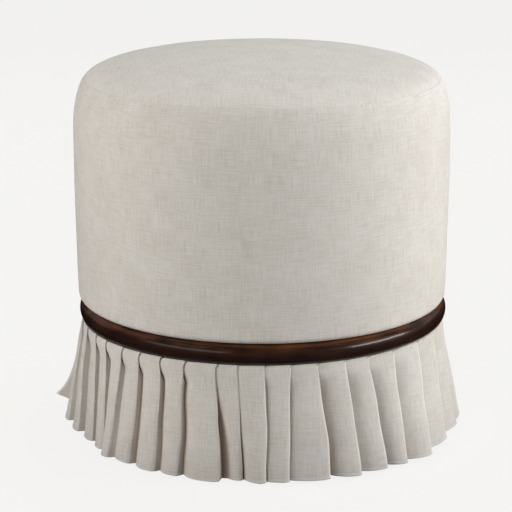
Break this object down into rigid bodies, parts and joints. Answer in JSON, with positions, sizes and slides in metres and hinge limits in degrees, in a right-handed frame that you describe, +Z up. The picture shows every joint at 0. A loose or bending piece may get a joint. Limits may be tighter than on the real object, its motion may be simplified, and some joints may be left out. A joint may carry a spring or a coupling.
{
  "type": "ottoman",
  "caption": "Round drum ottoman in oatmeal linen with a crowned top, a dark half-round wooden hoop and a knife-pleated skirt that hides its legs.",
  "frame": {"origin": "on the floor, under the middle of the drum", "axes": "+Z up along the axis of the drum; -Y faces the viewer of the picture, +X to the viewer's right"},
  "size_m": [0.4878, 0.4878, 0.457],
  "materials": {
    "linen": "matte",
    "skirt_linen": "matte",
    "walnut": "gloss",
    "wadding": "matte",
    "foam": "matte",
    "plywood": "matte",
    "timber": "matte",
    "leg_timber": "satin",
    "fibreboard": "matte",
    "header_tape": "matte",
    "cambric": "matte",
    "nylon": "satin",
    "steel": "satin"
  },
  "bodies": {
    "root": {"cover_top": "linen", "cover_side": "linen", "fibre_wrap": "wadding", "seat_foam": "foam", "side_padding": "foam", "seat_deck": "plywood", "side_wall": "fibreboard", "base_panel": "plywood", "trim_ring": "walnut", "skirt_rail": "plywood", "skirt_header": "header_tape", "dust_cover": "cambric", "base_screws": "steel", "deck_screws": "steel", "ring_screws": "steel", "rail_screws": "steel", "hanger_bolts": "steel", "tee_nuts": "steel", "upright_1": "timber", "upright_2": "timber", "upright_3": "timber", "upright_4": "timber", "upright_5": "timber", "upright_6": "timber", "skirt_panel_1": "skirt_linen", "leg_1": "leg_timber", "glide_1": "nylon", "skirt_panel_2": "skirt_linen", "leg_2": "leg_timber", "glide_2": "nylon", "skirt_panel_3": "skirt_linen", "leg_3": "leg_timber", "glide_3": "nylon", "skirt_panel_4": "skirt_linen", "leg_4": "leg_timber", "glide_4": "nylon"}
  },
  "joints": []
}
